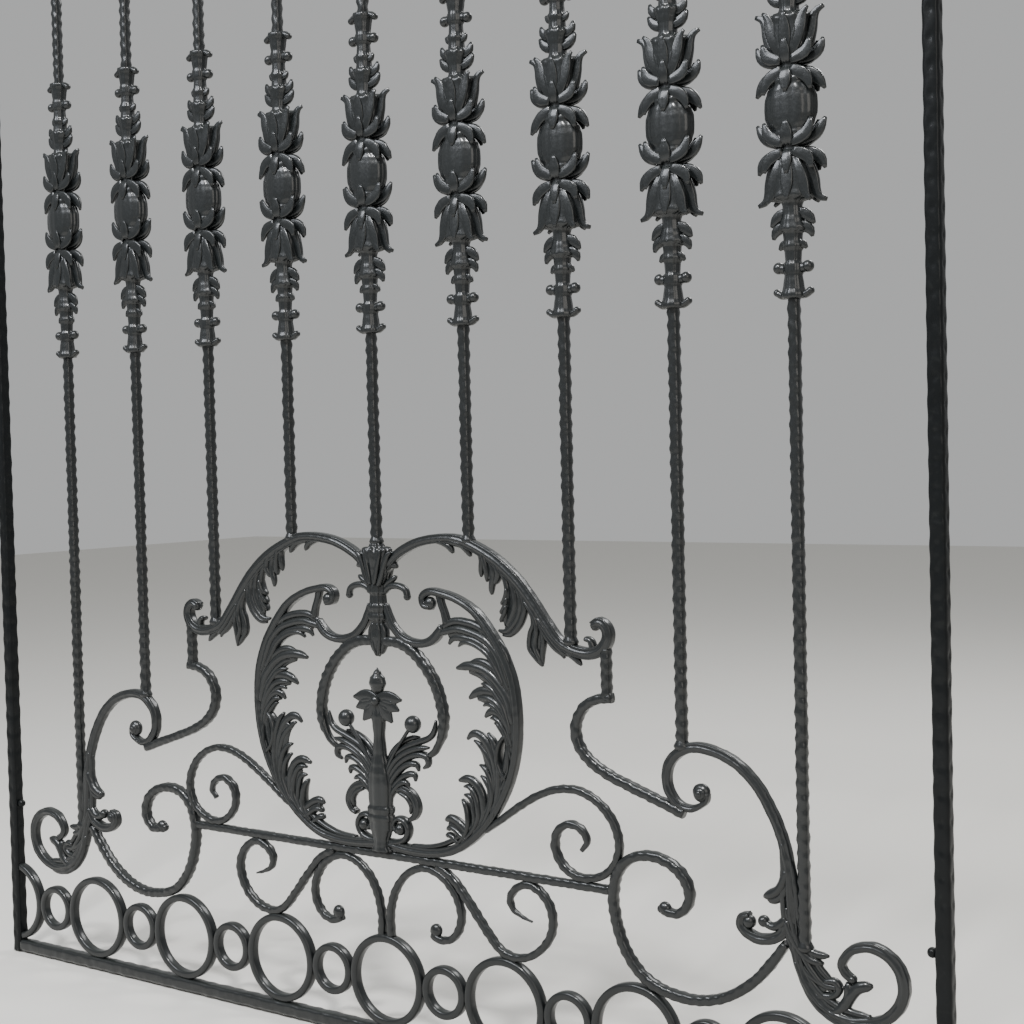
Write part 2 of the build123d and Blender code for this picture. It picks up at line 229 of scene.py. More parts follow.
def squared(w, reach):
    """Place round a bar of square section with rounded corners, w from 0 to 1."""
    side, part = divmod(w * 4 % 4, 1)
    t = part * 2 - 1
    x, y = ((1, t), (-t, 1), (-1, -t), (t, -1))[int(side)]
    size = (abs(x) ** SQUARENESS + abs(y) ** SQUARENESS) ** (1 / SQUARENESS)
    return x / size, y / size


def rounded(w, reach):
    """Place round a bar of round section."""
    return math.cos(w * math.tau), math.sin(w * math.tau)


def peened(pitch, depth, seed=0.0, dimple=0.0):
    """Section of a square bar hammered on its four corners in turn, and dimpled along its faces if asked."""

    def section(w, reach):
        x, y = squared(w, reach)
        corner = round(w * 4)
        near = 1 - 2 * abs(w * 4 - corner)
        # the next corner is struck half a pitch later, and no blow falls quite where it should
        stray = STRAY_BLOWS * noise.noise(Vector((reach / pitch / 3, seed, corner % 4 * 3.7)))
        turn = math.tau * (reach / pitch + corner % 2 * 0.5 + stray)
        dent = depth * near * (0.5 - 0.5 * math.cos(turn))
        dent += dimple * (1 - near) ** 3 * (0.5 + 0.5 * math.cos(math.tau * reach / pitch)) ** 5
        return x * (1 - dent), y * (1 - dent)

    return section


def groove(x, middle, width):
    """Depth of a soft groove on each side of a stem: 1 in its middle, almost 0 two widths away."""
    return math.exp(-(((abs(x) - middle) / width) ** 2))


def moulded(w, reach):
    """Section of a cast stem: a bead along the middle of both faces, with a groove on each side of it."""
    x, y = squared(w, reach)
    return x, y * (1 - 0.3 * groove(x, 0.5, 0.17) - 0.22 * abs(x) ** 3)


def veined(w, reach):
    """Section of a small cast leaf: a midrib and raised edges with a hollow between them, on both faces."""
    x, y = rounded(w, reach)
    crown = max(1 - x * x, 0) ** 0.4 * (1 - 0.42 * groove(x, 0.42, 0.2))
    return x, math.copysign(crown, y)


def rolled(bm, stations, sides, place):
    """Grid rolled up into a tube with closed ends; place(i, w, pole) puts each of its points."""
    made = bmesh.ops.create_grid(bm, x_segments=stations + 2, y_segments=sides, size=0.5)["verts"]
    for vert in made:
        i = round((vert.co.x + 0.5) * (stations + 2))
        w = round((vert.co.y + 0.5) * sides) % sides / sides
        vert.co = place(min(max(i - 1, 0), stations), w, i in (0, stations + 2))
    bmesh.ops.remove_doubles(bm, verts=made, dist=1e-6)


def sweep(bm, run, widths, depths, section=rounded, sides=16, step=2.5, level=0.0):
    """Bar or leaf along the run, with widths seen from the front and depths from front to back."""
    stations = max(int(even_run(run, 8)[2] / step), LEAST_STATIONS)
    places, across, length = even_run(run, stations)

    def place(i, w, pole):
        u = i / stations
        a, b = (0, 0) if pole else section(w, u * length)
        spot = places[i] + across[i] * (a * max(through(widths, u), LEAST_SIZE) / 2)
        y = b * max(through(depths, u), LEAST_SIZE) / 2 + through(level, u)
        return Vector((AXIS_X + spot.x * MM, y * MM, RING_Z + spot.y * MM))

    rolled(bm, stations, sides, place)


def stem(bm, run, widths, depths, step=2.5):
    """Cast stem along the run, with a bead and two grooves on both faces."""
    sweep(bm, run, widths, depths, moulded, 32, step)


def lathed(bm, levels, sides, flutes, flute_depth, step, off=0.0):
    """Casting about the upright axis, from (height, half width, half depth, scallop if any) levels."""
    levels = [(*level, 0)[:4] for level in levels]
    low, high = levels[0][0], levels[-1][0]
    stations = max(int(abs(high - low) / step), len(levels))

    def size_at(rise):
        for first, second in zip(levels, levels[1:]):
            if first[0] <= rise <= second[0]:
                part = (rise - first[0]) / max(second[0] - first[0], 1e-6)
                part = part * part * (3 - 2 * part)
                return [a + (b - a) * part for a, b in zip(first[1:], second[1:])]
        return levels[-1][1:]

    def place(i, w, pole):
        rise = low + (high - low) * i / stations
        wide, deep, scallop = size_at(rise)
        turn = w * math.tau
        petal = 0 if pole else abs(math.cos(flutes * turn / 2))
        swell = 0 if pole else 1 - flute_depth * (1 - petal)
        lift = scallop * (petal - 0.5)
        x, y = wide * swell * math.cos(turn), off + deep * swell * math.sin(turn)
        return Vector((AXIS_X + x * MM, y * MM, RING_Z + (rise + lift) * MM))

    rolled(bm, stations, sides, place)


def ball(bm, place, size, depth=None, level=0.0):
    """Round knob seen from the front at the place, its middle at the level off the axis."""
    squash = Matrix.Diagonal((size / 2 * MM, (depth or size) / 2 * MM, size / 2 * MM, 1))
    at = Matrix.Translation((AXIS_X + place[0] * MM, level * MM, RING_Z + place[1] * MM))
    bmesh.ops.create_uvsphere(bm, u_segments=20, v_segments=12, radius=1, matrix=at @ squash)


# Share of a leaf finger's width and depth at even steps from its root to its blunt tip
FINGER_WIDTHS = (0.75, 0.85, 0.95, 1.0, 1.0, 1.0, 1.0, 1.0, 1.0, 0.98, 0.93, 0.8, 0.35)
FINGER_DEPTHS = (0.9, 1.0, 1.0, 1.0, 1.0, 1.0, 1.0, 0.97, 0.93, 0.88, 0.8, 0.65, 0.3)


def rib(bm, run, width, depth=11.0, level=0.0):
    """Rounded finger of a cast leaf from its root to its tip."""
    widths = [width * share for share in FINGER_WIDTHS]
    depths = [depth * share for share in FINGER_DEPTHS]
    sweep(bm, run, widths, depths, sides=12, level=level)


def fan(bm, *fingers):
    """Fingers of a leaf side by side, each given as its width and then its run."""
    for number, (width, *run) in enumerate(fingers):
        # every other finger stands higher, so that grooves run between them
        rib(bm, run, width, 13.5 if number % 2 else 10)


def frond(bm, plate, spans, *fingers):
    """Acanthus leaf: a thin plate along the run, as wide as the spans, with a fan of fingers laid on it."""
    sweep(bm, plate, spans, 6, sides=14, step=3.0)
    fan(bm, *fingers)


def hammer(bm, size, depth, seed):
    """Peens shallow dents into the bar, with ridges where they meet; size and depth are metres."""
    bmesh.ops.recalc_face_normals(bm, faces=bm.faces)
    bm.normal_update()
    for vert in bm.verts:
        near = noise.voronoi(vert.co / size + Vector((seed, seed * 0.37, 0)))[0][0]
        vert.co -= vert.normal * depth * (1 - min(near * 1.5, 1) ** 2)


def piece(name, bm, finish, slot, *nodes):
    """Makes an object of the mesh that stands for the nodes and rides with the grille."""
    if not bm.faces:
        raise RuntimeError(f"{name} came out empty")
    bmesh.ops.recalc_face_normals(bm, faces=bm.faces)
    for face in bm.faces:
        face.smooth = True
    mesh = bpy.data.meshes.new(name)
    bm.to_mesh(mesh)
    bm.free()
    mesh.materials.append(finish_of(finish))
    made = bpy.data.objects.new(name, mesh)
    bpy.context.scene.collection.objects.link(made)
    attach(made, "root")
    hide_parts(*nodes)


def linear(hex_colour):
    """Linear colour for an sRGB hex value."""
    channels = [int(hex_colour[i : i + 2], 16) / 255 for i in (1, 3, 5)]
    return [c / 12.92 if c <= 0.04045 else ((c + 0.055) / 1.055) ** 2.4 for c in channels] + [1.0]


def add(tree, kind, settings, links):
    """Adds a node with its settings and links, each socket by its name or, where names repeat, number."""
    node = tree.nodes.new(kind)
    for key, value in settings.items():
        if isinstance(key, int) or key in node.inputs:
            node.inputs[key].default_value = value
        else:
            setattr(node, key, value)
    for socket, source in links.items():
        tree.links.new(source, node.inputs[socket])
    return node.outputs


def enamel(name, colour, grain, bump, sheen):
    """Satin black enamel brushed on iron: a soft sheen, brush marks, and dust in the hollows."""
    paint = bpy.context.scene.grille_paint
    material = bpy.data.materials.new(name)
    material.use_nodes = True
    tree = material.node_tree
    shader = tree.nodes["Principled BSDF"]
    where = add(tree, "ShaderNodeTexCoord", {}, {})["Object"]
    # coats of paint that vary over 60 mm, the grain of the metal below them, and pits 6 mm apart
    cloud = add(tree, "ShaderNodeTexNoise", {"Scale": 1 / 0.06, "Detail": 4.0}, {"Vector": where})["Fac"]
    grit = add(tree, "ShaderNodeTexNoise", {"Scale": 1 / grain, "Detail": 5.0}, {"Vector": where})["Fac"]
    pit = add(tree, "ShaderNodeTexVoronoi", {"Scale": 1 / 0.006}, {"Vector": where})["Distance"]
    # dust on whatever faces up, patchy like the coats, and a little where the grain stands out
    facing = add(tree, "ShaderNodeNewGeometry", {}, {})["Normal"]
    upward = add(tree, "ShaderNodeSeparateXYZ", {}, {"Vector": facing})["Z"]
    ledge = add(tree, "ShaderNodeMapRange", {"From Min": 0.45}, {"Value": upward})["Result"]
    patchy = add(tree, "ShaderNodeMath", {"operation": "MULTIPLY"}, {0: ledge, 1: cloud})[0]
    limits = {"From Min": 0.58, "From Max": 0.8, "To Max": 0.2}
    thin = add(tree, "ShaderNodeMapRange", limits, {"Value": grit})["Result"]
    dusty = add(tree, "ShaderNodeMath", {"operation": "ADD", "use_clamp": True}, {0: patchy, 1: thin})[0]
    amount = add(tree, "ShaderNodeMapRange", {"To Max": 0.4}, {"Value": dusty})["Result"]
    deep = linear(colour)
    pale = [c * 1.5 + 0.002 for c in deep[:3]] + [1]
    coat = add(tree, "ShaderNodeMix", {"data_type": "RGBA", 6: deep, 7: pale}, {0: cloud})[2]
    dust = {"data_type": "RGBA", 7: linear(paint.dust_colour)}
    base = add(tree, "ShaderNodeMix", dust, {0: amount, 6: coat})[2]
    tree.links.new(base, shader.inputs["Base Color"])
    limits = {"To Min": paint.roughness - 0.08, "To Max": paint.roughness + 0.14}
    matt = add(tree, "ShaderNodeMapRange", limits, {"Value": grit})["Result"]
    tree.links.new(matt, shader.inputs["Roughness"])
    height = add(tree, "ShaderNodeMath", {"operation": "MULTIPLY_ADD", 1: 0.35}, {0: pit, 2: grit})[0]
    relief = add(tree, "ShaderNodeBump", {"Strength": bump, "Distance": 0.0006}, {"Height": height})
    tree.links.new(relief["Normal"], shader.inputs["Normal"])
    shader.inputs["Specular IOR Level"].default_value = 0.3 * sheen
    shader.inputs["Coat Weight"].default_value = 0.4 * sheen
    shader.inputs["Coat Roughness"].default_value = 0.14
    return material


def finish_of(kind):
    """The material of a kind of surface, made when it is first asked for."""
    paint = bpy.context.scene.grille_paint
    # name, colour, size of the grain in metres, strength of the relief, sheen
    recipes = {
        # wrought iron under the hammer: fire scale leaves a coarse grain below the paint
        "hammered": ("enamel_on_hammered_iron", paint.hammered_colour, 0.0045, 0.5, 1.0),
        # square tube of the posts: a darker, duller copy of the same paint, its darker colour painted shade
        # so that they stand darker beside the bars
        "tube": ("shaded_dull_enamel_on_square_tube", paint.tube_shade_colour, 0.006, 0.2, 0.3),
        # cast iron: the sand of the mould leaves a fine, duller grain
        "cast": ("enamel_on_cast_iron", paint.cast_colour, 0.003, 0.4, 1.0),
        # rolled steel hoops: smooth, so that the sheen runs round them in one line
        "rolled": ("enamel_on_rolled_steel", paint.ring_colour, 0.005, 0.18, 0.9),
    }
    return bpy.data.materials.get(recipes[kind][0]) or enamel(*recipes[kind])


def from_axis(point):
    """Millimetres from the middle of the grille (x) and of the ring row (z)."""
    return (point.x - AXIS_X) / MM, (point.z - RING_Z) / MM


def level_run(node):
    """Middle line and size of the level bar that the node is."""
    low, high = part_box(node)
    level = from_axis((low + high) / 2)[1]
    return [from_axis(low)[0], level, from_axis(high)[0], level], (high.z - low.z) / MM


def straight(name, node, run, size, pitch, seed, extra=None, share=1.0, dimple=0.0):
    """Forges one straight square bar with hammered corners along the run, in place of the node.

    A share below 1 makes the blows on its corners lighter, and a bar with dimples is a post of tube in
    duller paint, darkened as painted shade.
    """
    forging = bpy.context.scene.grille_forging
    bm = bmesh.new()
    first, last = Vector(run[:2]), Vector(run[2:])
    section = peened(pitch, forging.corner_dent * share, seed, dimple)
    sweep(bm, [*first, *first.lerp(last, 0.5), *last], size, size, section, 32 if dimple else 16)
    hammer(bm, forging.dent_size, forging.dent_depth * (POST_DENTS if dimple else 1), seed)
    if extra:
        extra(bm)
    piece(name, bm, "tube" if dimple else "hammered", "hammered_iron", node)


def pair(name, node, build, finish="cast", slot="cast_leaves", seed=None):
    """Builds a right-hand piece and its left-hand twin, hammered with the seed or grained like a casting."""
    forging = bpy.context.scene.grille_forging
    for twin, side in enumerate(("right", "left")):
        bm = bmesh.new()
        build(bm)
        if twin:
            for vert in bm.verts:
                vert.co.x = 2 * AXIS_X - vert.co.x
        if seed:
            hammer(bm, forging.dent_size * SCROLL_DENTS, forging.dent_depth, seed + twin)
        else:
            hammer(bm, *SAND)
        piece(f"{name}_{side}", bm, finish, slot, f"{node}_{side}")


class GRILLE_OT_posts(bpy.types.Operator):
    """Forges the two square posts with their studs, and the two rails between them"""

    bl_idname = "grille.posts"
    bl_label = "Posts and rails"

    def execute(self, context):
        pitch = context.scene.grille_forging.post_pitch / MM
        for seed, node in enumerate(("left_post", "right_post")):
            low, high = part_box(node)
            inward = 1 if low.x < AXIS_X else -1
            middle = from_axis(low if inward > 0 else high)[0] + inward * POST_SIZE / 2

            def stud(bm):
                face = middle + inward * POST_SIZE / 2
                knob = (face + inward * 4, STUD_LEVEL)
                sweep(bm, [middle, STUD_LEVEL, face, STUD_LEVEL, *knob], 7, 7, step=1.0)
                ball(bm, knob, 10)

            run = [middle, from_axis(low)[1], middle, from_axis(high)[1]]
            straight(f"forged_{node}", node, run, POST_SIZE, pitch, 3.1 + seed, stud, 0.4, 0.14)
        for seed, node in enumerate(("bottom_rail", "top_rail")):
            straight(f"forged_{node}", node, *level_run(node), pitch, 7.7 + seed, share=0.3)
        return {"FINISHED"}


class GRILLE_OT_bars(bpy.types.Operator):
    """Forges the hammered bars between the scrollwork and the top rail, each welded on at its foot"""

    bl_idname = "grille.bars"
    bl_label = "Hammered bars"

    def execute(self, context):
        pitch = context.scene.grille_forging.bar_pitch / MM
        for seed, node in enumerate(BAR_NODES):
            low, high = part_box(node)
            x = from_axis((low + high) / 2)[0]
            foot = from_axis(low)[1]

            def weld(bm):
                bead = [x, foot - 2, x, foot + 1.5, x, foot + 5, x, foot + 9]
                sweep(bm, bead, [14, 18, 14.5, 10.5], [12, 15.5, 13.5, 10.5], step=1.0)

            run = [x, foot, x, from_axis(high)[1]]
            straight(f"hammered_{node}", node, run, BAR_SIZE, pitch, 11.3 + seed, weld)
        return {"FINISHED"}


def hoop(bm, x, size, deep, steps):
    """Ring of squarish section, spun about its own middle and laid in the row at x."""
    ring = bmesh.new()
    for vert in bmesh.ops.create_circle(ring, segments=16, radius=1)["verts"]:
        a, b = squared(math.atan2(vert.co.y, vert.co.x) / math.tau + 0.125, 0)
        vert.co = ((size - RING_WALL) / 2 + a * RING_WALL / 2, b * deep / 2, 0)
    bmesh.ops.spin(
        ring,
        geom=ring.verts[:] + ring.edges[:],
        axis=(0, 1, 0),
        cent=(0, 0, 0),
        angle=math.tau,
        steps=steps,
        use_merge=True,
    )
    for vert in ring.verts:
        worn = 0.35 * noise.noise(Vector((vert.co.x / 25, x, vert.co.z / 25)))
        vert.co -= Vector((vert.co.x, 0, vert.co.z)).normalized() * abs(worn)
        vert.co = (AXIS_X + (x + vert.co.x) * MM, vert.co.y * MM, RING_Z + vert.co.z * MM)
    mesh = bpy.data.meshes.new("hoop")
    ring.to_mesh(mesh)
    ring.free()
    bm.from_mesh(mesh)
    bpy.data.meshes.remove(mesh)


class GRILLE_OT_rings(bpy.types.Operator):
    """Rolls the row of alternate big and small rings and cuts it off at the posts"""

    bl_idname = "grille.rings"
    bl_label = "Ring row"

    def execute(self, context):
        low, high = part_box("ring_row")
        pitch = (RING_SIZE + SMALL_RING) / 2 - WELD_BITE
        last = int((high.x - AXIS_X) / MM / pitch) + 1
        bm = bmesh.new()
        for number in range(-last, last + 1):
            size, steps = (SMALL_RING, 56) if number % 2 else (RING_SIZE, 72)
            hoop(bm, number * pitch, size, (high.y - low.y) / MM, steps)
        for side, plane in ((-1, low.x), (1, high.x)):
            cut = bmesh.ops.bisect_plane(
                bm,
                geom=bm.verts[:] + bm.edges[:] + bm.faces[:],
                plane_co=(plane, 0, 0),
                plane_no=(side, 0, 0),
                clear_outer=True,
            )
            rim = [part for part in cut["geom_cut"] if isinstance(part, bmesh.types.BMEdge)]
            bmesh.ops.holes_fill(bm, edges=rim)
        piece("rolled_ring_row", bm, "rolled", "smooth_iron", "ring_row")
        return {"FINISHED"}


# Centre lines of the forged bars on the right half, their ends finer than those of the solids
HOOK_SCROLL = [
    500, 120, 484, 98, 468, 80, 449, 65, 428, 54, 404, 48, 382, 48, 360, 52, 341, 61, 325, 77, 314, 97,
    308, 118, 306, 140, 311, 163, 324, 179, 343, 186, 364, 185, 383, 176, 394, 161, 394, 144, 382, 132,
    367, 133,
]
SPIRAL = [
    145, 188, 164, 202, 190, 220, 216, 235, 242, 244, 268, 244, 292, 233, 309, 213, 314, 189, 305, 168,
    286, 156, 264, 153.5, 245, 163, 235, 180, 238, 198, 252, 208, 268, 204, 275, 192, 268, 182,
]
ARCH_SCROLL = [
    7, 51, 6, 70, 9, 90, 17, 109, 32, 126, 50, 135, 68, 135.5, 87, 127, 101, 112, 108, 93, 105, 75, 94, 62,
    79, 58, 67, 63,
]
SIDE_SCROLL = [
    76, 141, 98, 129, 115, 111, 131, 92, 147, 73, 161, 60, 178, 55, 199, 59, 217, 72, 228, 90, 229, 110,
    219, 127, 202, 136.5, 185, 132, 175, 120, 178, 108, 190, 101, 203, 97,
]
LINK_BAR = [
    309, 344.5, 291, 342, 276, 334, 267, 321, 264, 306, 269, 290, 283, 276, 303, 265, 330, 255, 360, 245,
    391, 234,
]
INNER_RING = [9, 389, 28, 388, 46, 381, 63, 367, 77, 349, 86, 328, 90, 305, 86, 284, 75, 268]
OUTER_SCROLL = [
    418, 257, 417, 250, 411, 245, 398, 240, 383, 245, 373, 260, 374, 280, 386, 295, 405, 302, 429, 299,
    452, 289, 472, 271, 488, 246, 500, 217, 506, 185, 508, 150, 511, 116, 522, 86, 542, 66, 567, 57, 593, 61,
    612, 76, 619, 98, 611, 119, 591, 130, 570, 126, 558, 112, 560, 103, 568, 97,
]


class GRILLE_OT_scrolls(bpy.types.Operator):
    """Bends the forged scrolls, the cross bar, the link bars and the inner ring"""

    bl_idname = "grille.scrolls"
    bl_label = "Forged scrolls"

    def execute(self, context):
        forging = context.scene.grille_forging
        pitch = forging.scroll_pitch / MM
        blows = peened(pitch, forging.corner_dent * SCROLL_BLOWS, 5.0)

        def forge(bm, run, widths, depths):
            sweep(bm, run, widths, depths, blows, step=1.9)

        def hook(bm):
            forge(bm, HOOK_SCROLL, [9] + [11] * 19 + [10, 9], 12)
            ball(bm, (367, 135), 15, 12)
            ball(bm, (362, 134), 9, 9)

        def spiral(bm):
            forge(bm, SPIRAL, [5, 8] + [9] * 15 + [8, 5], [10] * 17 + [9, 6])

        def arch(bm):
            forge(bm, ARCH_SCROLL, [10] + [9] * 13, 10)
            ball(bm, (72, 68), 16, 11)

        def beside(bm):
            forge(bm, SIDE_SCROLL, [9] * 14 + [8, 5, 2], [10] * 14 + [9, 6, 3])

        def link(bm):
            forge(bm, [303, 395, 303, 378, 303, 360, 303, 340], 11, 12)
            forge(bm, LINK_BAR, 11, 12)

        def ring(bm):
            forge(bm, INNER_RING, [12] + [13] * 5 + [12, 9, 3], [12] * 8 + [5])
            rib(bm, [88, 300, 85, 284, 77, 270, 66, 262], 9)

        for name, node, build, seed in (
            ("hook_scroll_bar", "hook_scroll", hook, 21.0),
            ("spiral_bar", "spiral", spiral, 24.0),
            ("arch_scroll_bar", "arch_scroll", arch, 27.0),
            ("side_scroll_bar", "side_scroll", beside, 31.0),
            ("link_bar_bend", "link_bar", link, 35.0),
            ("inner_ring_bar", "inner_ring", ring, 39.0),
        ):
            pair(name, node, build, "hammered", "hammered_iron", seed)
        run, size = level_run("cross_bar")
        straight("cross_bar_forging", "cross_bar", run, size, pitch, 43.0, share=SCROLL_BLOWS)
        return {"FINISHED"}


# Pointed leaves in a quarter of an ornament: run, widths, depths, and level off the axis
ORNAMENT_LEAVES = [
    # cup that clasps the globe
    ([6, 34, 15, 31, 24, 27, 30, 21, 35, 13], [9, 12, 13, 10, 3], [12, 11, 9, 7, 3], 0),
    ([4, 34, 11, 31, 18, 27, 22, 21, 24, 13], [9, 12, 12, 9, 3], [6, 6, 5, 4, 2], 8.7),
    ([0, 36, 0, 30, 0, 22, 0, 13], [10, 13, 11, 3], [5, 5, 4, 2], [9, 11.5, 12.2, 13]),
    # cup that holds the tulip
    ([7, 42, 15, 43, 24, 46, 30, 51, 34, 60], [8, 11, 12, 10, 3], [12, 10, 8, 6, 3], 0),
    ([5, 42, 11, 44, 18, 47, 22, 52, 24, 60], [8, 11, 12, 9, 3], [6, 5, 4, 3, 2], 9.2),
    ([0, 40, 0, 47, 0, 55, 0, 63], [8, 11, 9, 3], [5, 4, 3, 2], [8.5, 11.5, 12.5, 13]),
    # petals of the tulip, their tips curled outwards
    ([11, 47, 18, 58, 22.5, 70, 24.5, 80, 28, 86, 35, 89], [9, 13, 12, 10, 8, 4], [9, 12, 10, 8, 6, 3], 0),
    ([6, 47, 10, 58, 14.5, 71, 18, 83, 23, 89], [7, 12, 13, 10, 3], [4, 5, 5, 4, 3],
     [8, 9.4, 9.6, 9.4, 9.4]),
    ([0, 46, 0, 58, 0, 72, 0, 87], [7, 12, 12, 3], [3, 4, 4, 2], [9, 11.2, 12.2, 13.4]),
    # pairs of small leaves on the neck
    ([6, 98, 13, 100, 18, 104, 22, 110], [10, 11, 9, 3], [11, 9, 7, 3], 0),
    ([6, 111, 13, 112, 18, 116, 20, 122], [9, 11, 9, 3], [11, 9, 7, 3], 0),
    ([5, 126, 10, 128, 14, 132], [8, 8, 3], [10, 8, 3], 0),
]
# Core of the upper half of an ornament: height, half width, half depth, and scallop if any
ORNAMENT_CORE = [
    (0, 27.5, 13.6), (7, 27.2, 13.5), (15, 24.5, 13), (22, 19, 12), (24, 21, 13, 3), (28, 17, 11.5, 2),
    (33, 11, 9.6), (39, 10, 9.3), (43, 12, 10), (49, 16.5, 11.8), (55, 19, 12.6), (66, 21, 13),
    (76, 21.5, 13.2, 1), (83, 23.5, 14, 4), (84.5, 21, 13, 4), (87, 11, 9.5, 1), (92, 9.5, 8.8), (99, 10, 9),
    (106, 12, 10.2), (113, 15.5, 11.2, 4), (114.5, 13.5, 10.4, 4), (117, 9.5, 8.8), (124, 9, 8.4),
    (129, 11, 9.5, 2), (131, 9.8, 9, 2), (134, 8.2, 8), (144, 7.6, 7.6), (146, 10, 9), (154, 10, 9),
    (156, 8.6, 8.4), (166, 10, 9.4), (170.5, 11, 10), (172.5, 12, 11), (175, 12.8, 11.4), (178, 12, 11),
]


class GRILLE_OT_ornaments(bpy.types.Operator):
    """Casts the leafy ornament and threads one on each bar"""

    bl_idname = "grille.ornaments"
    bl_label = "Bar ornaments"

    def execute(self, context):
        bm = bmesh.new()
        for run, widths, depths, level in ORNAMENT_LEAVES:
            levels = [level, [-y for y in level]] if isinstance(level, list) else sorted({level, -level})
            for up in (1, -1):
                for aside in (1, -1) if run[0] else (1,):
                    leaf = mirrored(run, aside, up)
                    for height in levels:
                        sweep(bm, leaf, widths, depths, veined, step=3.3, level=height)
        for aside, up in ((1, 1), (1, -1), (-1, 1), (-1, -1)):
            # a bead on each side of the collar, and a smaller one on each side of the end cone
            neck = mirrored([6, 150, 10, 150, 15, 149], aside, up)
            sweep(bm, neck, 10, 9, sides=12)
            ball(bm, neck[-2:], 11.5, 11)
            neck = mirrored([6, 175, 12, 175, 17, 172], aside, up)
            sweep(bm, neck, [7, 7.5, 7], 9, sides=12)
            ball(bm, neck[-2:], 7.5, 9)
        below = [
            (-rise, wide, deep, *[-lift for lift in scallop])
            for rise, wide, deep, *scallop in reversed(ORNAMENT_CORE[1:])
        ]
        lathed(bm, below + ORNAMENT_CORE, 36, 12, 0.14, 1.8)
        low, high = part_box(ORNAMENT_NODES[0])
        middle = (low + high) / 2
        shift = Vector((middle.x - AXIS_X, 0, middle.z - RING_Z))
        bmesh.ops.translate(bm, verts=bm.verts, vec=shift)
        for node in ORNAMENT_NODES:
            here = (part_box(node)[0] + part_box(node)[1]) / 2
            copy = bm.copy()
            bmesh.ops.translate(copy, verts=copy.verts, vec=Vector((here.x - middle.x, 0, 0)))
            piece(f"cast_{node}", copy, "cast", "cast_leaves", node)
        bm.free()
        return {"FINISHED"}


